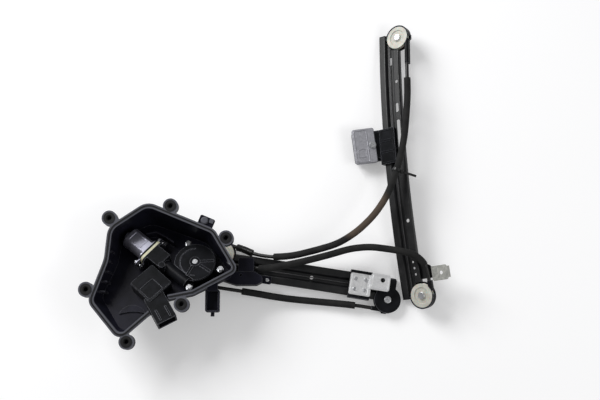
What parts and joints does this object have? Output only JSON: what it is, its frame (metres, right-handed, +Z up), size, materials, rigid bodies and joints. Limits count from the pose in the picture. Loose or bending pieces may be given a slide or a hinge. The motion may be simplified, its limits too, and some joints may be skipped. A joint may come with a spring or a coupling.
{
  "type": "window regulator",
  "caption": "Cable-operated window regulator: a moulded carrier tub with a gear motor drives glass carriers along a lower and an upright curved rail through Bowden conduits.",
  "frame": {"origin": "middle of the bounding box, on the surface that the assembly lies on", "axes": "+X from the motor tub along the lower rail, +Y along the upright rail towards its top, +Z up out of the open tub"},
  "size_m": [0.6356, 0.5878, 0.1016],
  "materials": {
    "black_moulding": "fine matt grain",
    "black_paint": "satin electro-coat",
    "seal_rubber": "matt",
    "bare_steel": "bright zinc",
    "can_steel": "satin zinc",
    "galvanised": "dull zinc",
    "cast_alloy": "satin cast",
    "pale_gasket": "matt",
    "white_acetal": "smooth",
    "ferrite": "sintered",
    "lamination": "varnished",
    "copper": "bright",
    "bronze": "sintered",
    "board": "lacquered",
    "cable_steel": "stranded",
    "conduit_hose": "smooth",
    "foam": "foam"
  },
  "bodies": {
    "frame": {"motor_carrier_pan": "black_moulding", "rim_seal": "seal_rubber", "ear_grommets": "seal_rubber", "arm_rivets": "bare_steel", "harness_clip": "black_moulding", "cable_guide_block": "black_moulding", "motor_can": "can_steel", "motor_magnets": "ferrite", "can_screws": "bare_steel", "brush_holder": "black_moulding", "brush_gasket": "pale_gasket", "shaft_bushes": "bronze", "gear_housing": "black_moulding", "gear_cover": "black_moulding", "drum_housing": "black_moulding", "motor_screws": "bare_steel", "electronics_housing": "black_moulding", "electronics_lid": "black_moulding", "circuit_board": "board", "connector_pins": "copper", "lower_rail": "black_paint", "upright_rail": "black_paint", "lower_far_housing": "black_moulding", "lower_near_housing": "black_moulding", "upright_top_housing": "black_moulding", "upright_bottom_housing": "black_moulding", "lower_end_cover": "black_moulding", "pulley_rivets": "bare_steel", "lower_rail_cable": "cable_steel", "upright_rail_cable": "cable_steel", "conduit_upper": "conduit_hose", "conduit_middle": "conduit_hose", "conduit_lower": "conduit_hose", "conduit_adjuster": "conduit_hose", "sleeve_upper": "foam", "sleeve_middle": "foam", "sleeve_lower": "foam", "cable_tie": "conduit_hose", "rail_foot": "black_paint", "rail_foot_tab": "galvanised"},
    "armature": {"armature_core": "lamination", "commutator": "copper", "worm_shaft": "bare_steel"},
    "drum": {"worm_wheel": "white_acetal", "output_shaft": "bare_steel", "cable_drum": "white_acetal"},
    "lower_carrier": {"lower_slider": "black_moulding", "lower_glass_carrier": "cast_alloy", "lower_carrier_rivets": "bare_steel", "lower_cable_nipple": "cable_steel"},
    "upright_carrier": {"upright_slider": "black_moulding", "glass_clamp_plate": "cast_alloy", "glass_clamp_pads": "seal_rubber", "clamp_bolt": "bare_steel", "upright_cable_nipple": "cable_steel"},
    "lower_far_pulley": {"lower_far_pulley": "white_acetal"},
    "lower_near_pulley": {"lower_near_pulley": "white_acetal"},
    "upright_top_pulley": {"upright_top_pulley": "white_acetal"},
    "upright_bottom_pulley": {"upright_bottom_pulley": "white_acetal"}
  },
  "joints": [
    {"name": "armature_spin", "type": "hinge", "parent": "frame", "child": "armature", "pos_m": [-0.14705, -0.1703, 0.06266], "axis": [-0.7622, 0.6002, -0.2425], "range_deg": [0, 21093.9]},
    {"name": "drum_spin", "type": "hinge", "parent": "frame", "child": "drum", "pos_m": [-0.124, -0.1517, 0.03627], "axis": [0, 0.3746, 0.9272], "range_deg": [0, 351.6]},
    {"name": "lower_carrier_travel", "type": "hinge", "parent": "frame", "child": "lower_carrier", "pos_m": [0.0657, -0.1635, -1.58073], "axis": [-0.153, -0.9882, 0], "range_deg": [0, 4.83]},
    {"name": "upright_carrier_travel", "type": "hinge", "parent": "frame", "child": "upright_carrier", "pos_m": [1.18642, 0.10642, -1.24387], "axis": [0.7965, 0.0601, 0.6017], "range_deg": [0, 4.83]},
    {"name": "lower_far_pulley_spin", "type": "hinge", "parent": "frame", "child": "lower_far_pulley", "pos_m": [0.21046, -0.20433, 0.00928], "axis": [0.0924, -0.0143, 0.9956], "range_deg": [0, 425]},
    {"name": "lower_near_pulley_spin", "type": "hinge", "parent": "frame", "child": "lower_near_pulley", "pos_m": [-0.08024, -0.12249, 0.00916], "axis": [-0.0931, 0.0144, 0.9956], "range_deg": [-425, 0]},
    {"name": "upright_top_pulley_spin", "type": "hinge", "parent": "frame", "child": "upright_top_pulley", "pos_m": [0.23546, 0.27015, 0.02877], "axis": [-0.6045, 0.1018, 0.79], "range_deg": [0, 425]},
    {"name": "upright_bottom_pulley_spin", "type": "hinge", "parent": "frame", "child": "upright_bottom_pulley", "pos_m": [0.27074, -0.19793, 0.02878], "axis": [-0.5824, -0.1913, 0.79], "range_deg": [0, 425]}
  ],
  "couplings": [
    {"joint": "armature_spin", "follows": "upright_carrier_travel", "ratio": 4363.6},
    {"joint": "drum_spin", "follows": "upright_carrier_travel", "ratio": 72.727},
    {"joint": "lower_carrier_travel", "follows": "upright_carrier_travel", "ratio": 1},
    {"joint": "lower_far_pulley_spin", "follows": "upright_carrier_travel", "ratio": 87.912},
    {"joint": "lower_near_pulley_spin", "follows": "upright_carrier_travel", "ratio": -87.912},
    {"joint": "upright_top_pulley_spin", "follows": "upright_carrier_travel", "ratio": 87.912},
    {"joint": "upright_bottom_pulley_spin", "follows": "upright_carrier_travel", "ratio": 87.912}
  ]
}
